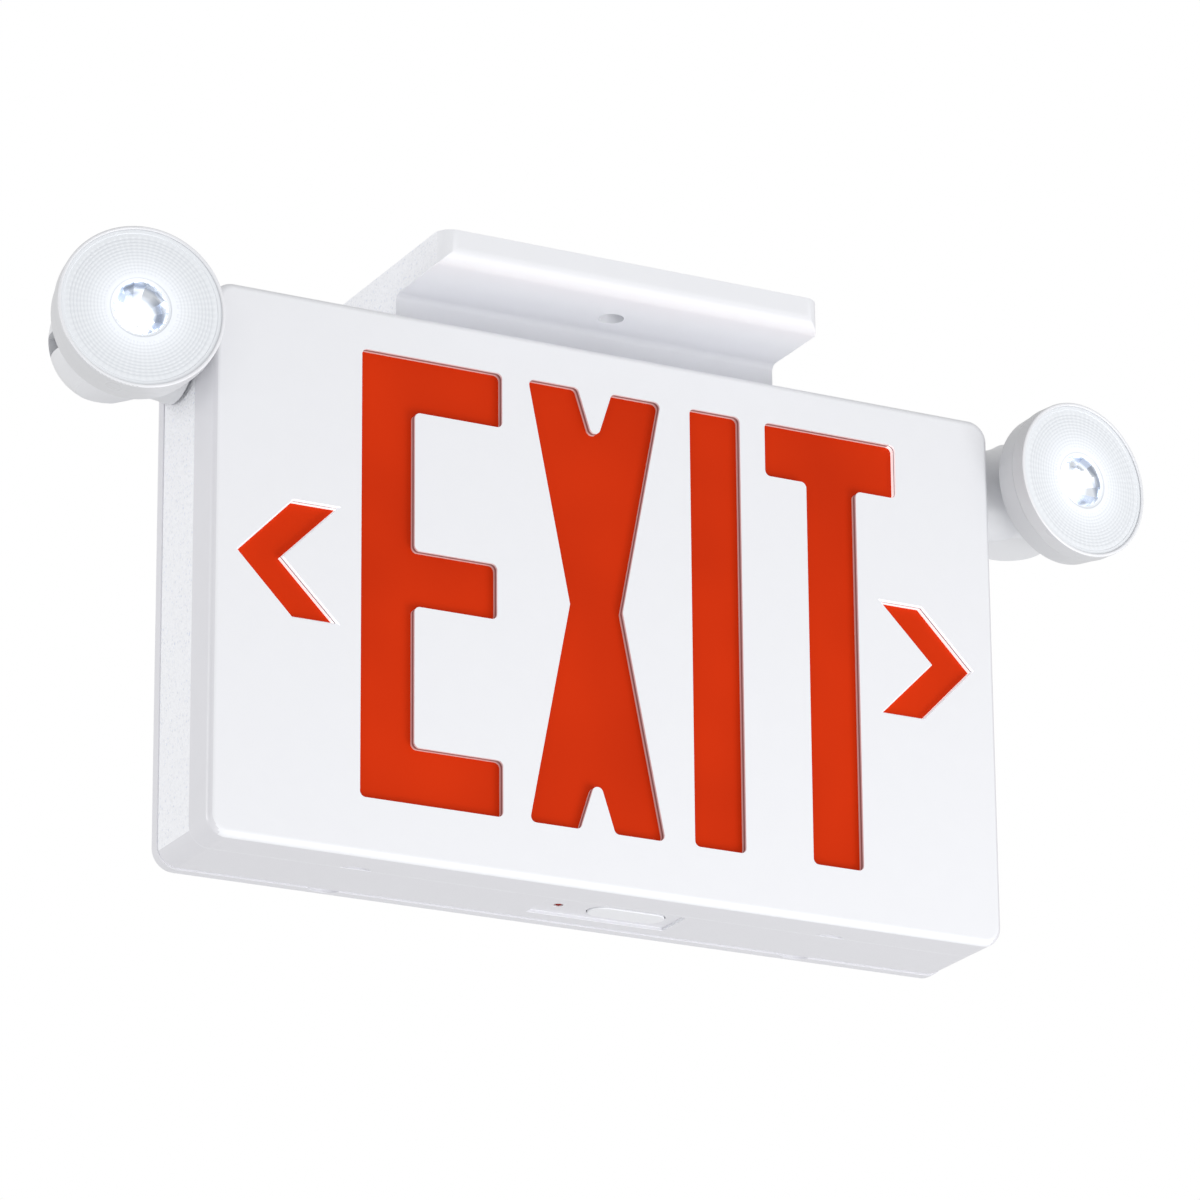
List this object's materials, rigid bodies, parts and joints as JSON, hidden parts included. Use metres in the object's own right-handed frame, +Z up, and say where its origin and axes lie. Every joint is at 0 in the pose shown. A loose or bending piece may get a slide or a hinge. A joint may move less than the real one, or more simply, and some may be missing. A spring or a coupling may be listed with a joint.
{
  "type": "emergency exit light",
  "caption": "Ceiling-hung exit sign with a stencilled red face, direction chevrons and two swivelling emergency lamp heads",
  "frame": {"origin": "centre of the canopy's open ceiling face, above the middle of the sign", "axes": "+Z up towards the ceiling, the lettered face looks along -Y, +X to the right of someone reading it"},
  "size_m": [0.4042, 0.0859, 0.2129],
  "materials": {
    "smooth_white_shell": "smooth satin moulding",
    "grained_white_shell": "fine sandblast grain",
    "red_diffuser": "lit red translucent sheet",
    "white_tray": "satin",
    "lamp_white": "satin gloss",
    "white_button": "satin",
    "white_nylon": "satin",
    "black_nylon": "satin",
    "zinc_screws": "bright zinc plate",
    "circuit_board": "solder mask",
    "white_board": "white solder mask",
    "red_led": "clear resin",
    "status_red": "tinted resin",
    "transformer_tape": "polyester tape on ferrite",
    "capacitor_sleeve": "shrink sleeve",
    "terminal_green": "satin",
    "battery_sleeve": "shrink sleeve",
    "clear_lens": "clear, ringed",
    "mirror_coat": "vacuum metallised",
    "white_led": "lit",
    "bare_aluminium": "as machined"
  },
  "bodies": {
    "sign": {"face_plate": "smooth_white_shell", "housing_frame": "grained_white_shell", "back_plate": "grained_white_shell", "red_panel": "red_diffuser", "light_tray": "white_tray", "tray_screws": "zinc_screws", "led_strips": "circuit_board", "strip_leds": "red_led", "canopy": "grained_white_shell", "canopy_screws": "zinc_screws", "wire_bush": "black_nylon", "test_switch": "black_nylon", "status_led": "status_red", "status_holder": "black_nylon", "charger_board": "circuit_board", "board_screws": "zinc_screws", "transformer": "transformer_tape", "capacitors": "capacitor_sleeve", "terminal_block": "terminal_green", "battery_cells": "battery_sleeve", "battery_bracket": "white_tray", "left_arm_bush": "white_nylon", "right_arm_bush": "white_nylon"},
    "left_arm": {"left_arm": "lamp_white", "left_pivot_pin": "zinc_screws", "left_arm_nut": "zinc_screws"},
    "left_head": {"left_head_shell": "lamp_white", "left_head_bezel": "lamp_white", "left_lens": "clear_lens", "left_reflector": "mirror_coat", "left_lamp_board": "white_board", "left_lamp_emitter": "white_led", "left_heat_sink": "bare_aluminium"},
    "right_arm": {"right_arm": "lamp_white", "right_pivot_pin": "zinc_screws", "right_arm_nut": "zinc_screws"},
    "right_head": {"right_head_shell": "lamp_white", "right_head_bezel": "lamp_white", "right_lens": "clear_lens", "right_reflector": "mirror_coat", "right_lamp_board": "white_board", "right_lamp_emitter": "white_led", "right_heat_sink": "bare_aluminium"},
    "button": {"test_button": "white_button", "switch_plunger": "black_nylon"}
  },
  "joints": [
    {"name": "left_arm_turn", "type": "hinge", "parent": "sign", "child": "left_arm", "pos_m": [-0.1686, 0, -0.0425], "axis": [1, 0, 0], "range_deg": [-25, 165]},
    {"name": "left_head_swivel", "type": "hinge", "parent": "left_arm", "child": "left_head", "pos_m": [-0.1686, 0, -0.0425], "axis": [0, 0, 1], "range_deg": [-80, 0]},
    {"name": "right_arm_turn", "type": "hinge", "parent": "sign", "child": "right_arm", "pos_m": [0.1686, 0, -0.0425], "axis": [1, 0, 0], "range_deg": [-25, 165]},
    {"name": "right_head_swivel", "type": "hinge", "parent": "right_arm", "child": "right_head", "pos_m": [0.1686, 0, -0.0425], "axis": [0, 0, 1], "range_deg": [0, 80]},
    {"name": "test_button_press", "type": "slide", "parent": "sign", "child": "button", "axis": [0, 0, 1], "range_m": [0, 0.001], "stiffness_N_per_m": 300, "springref_m": -0.001}
  ]
}
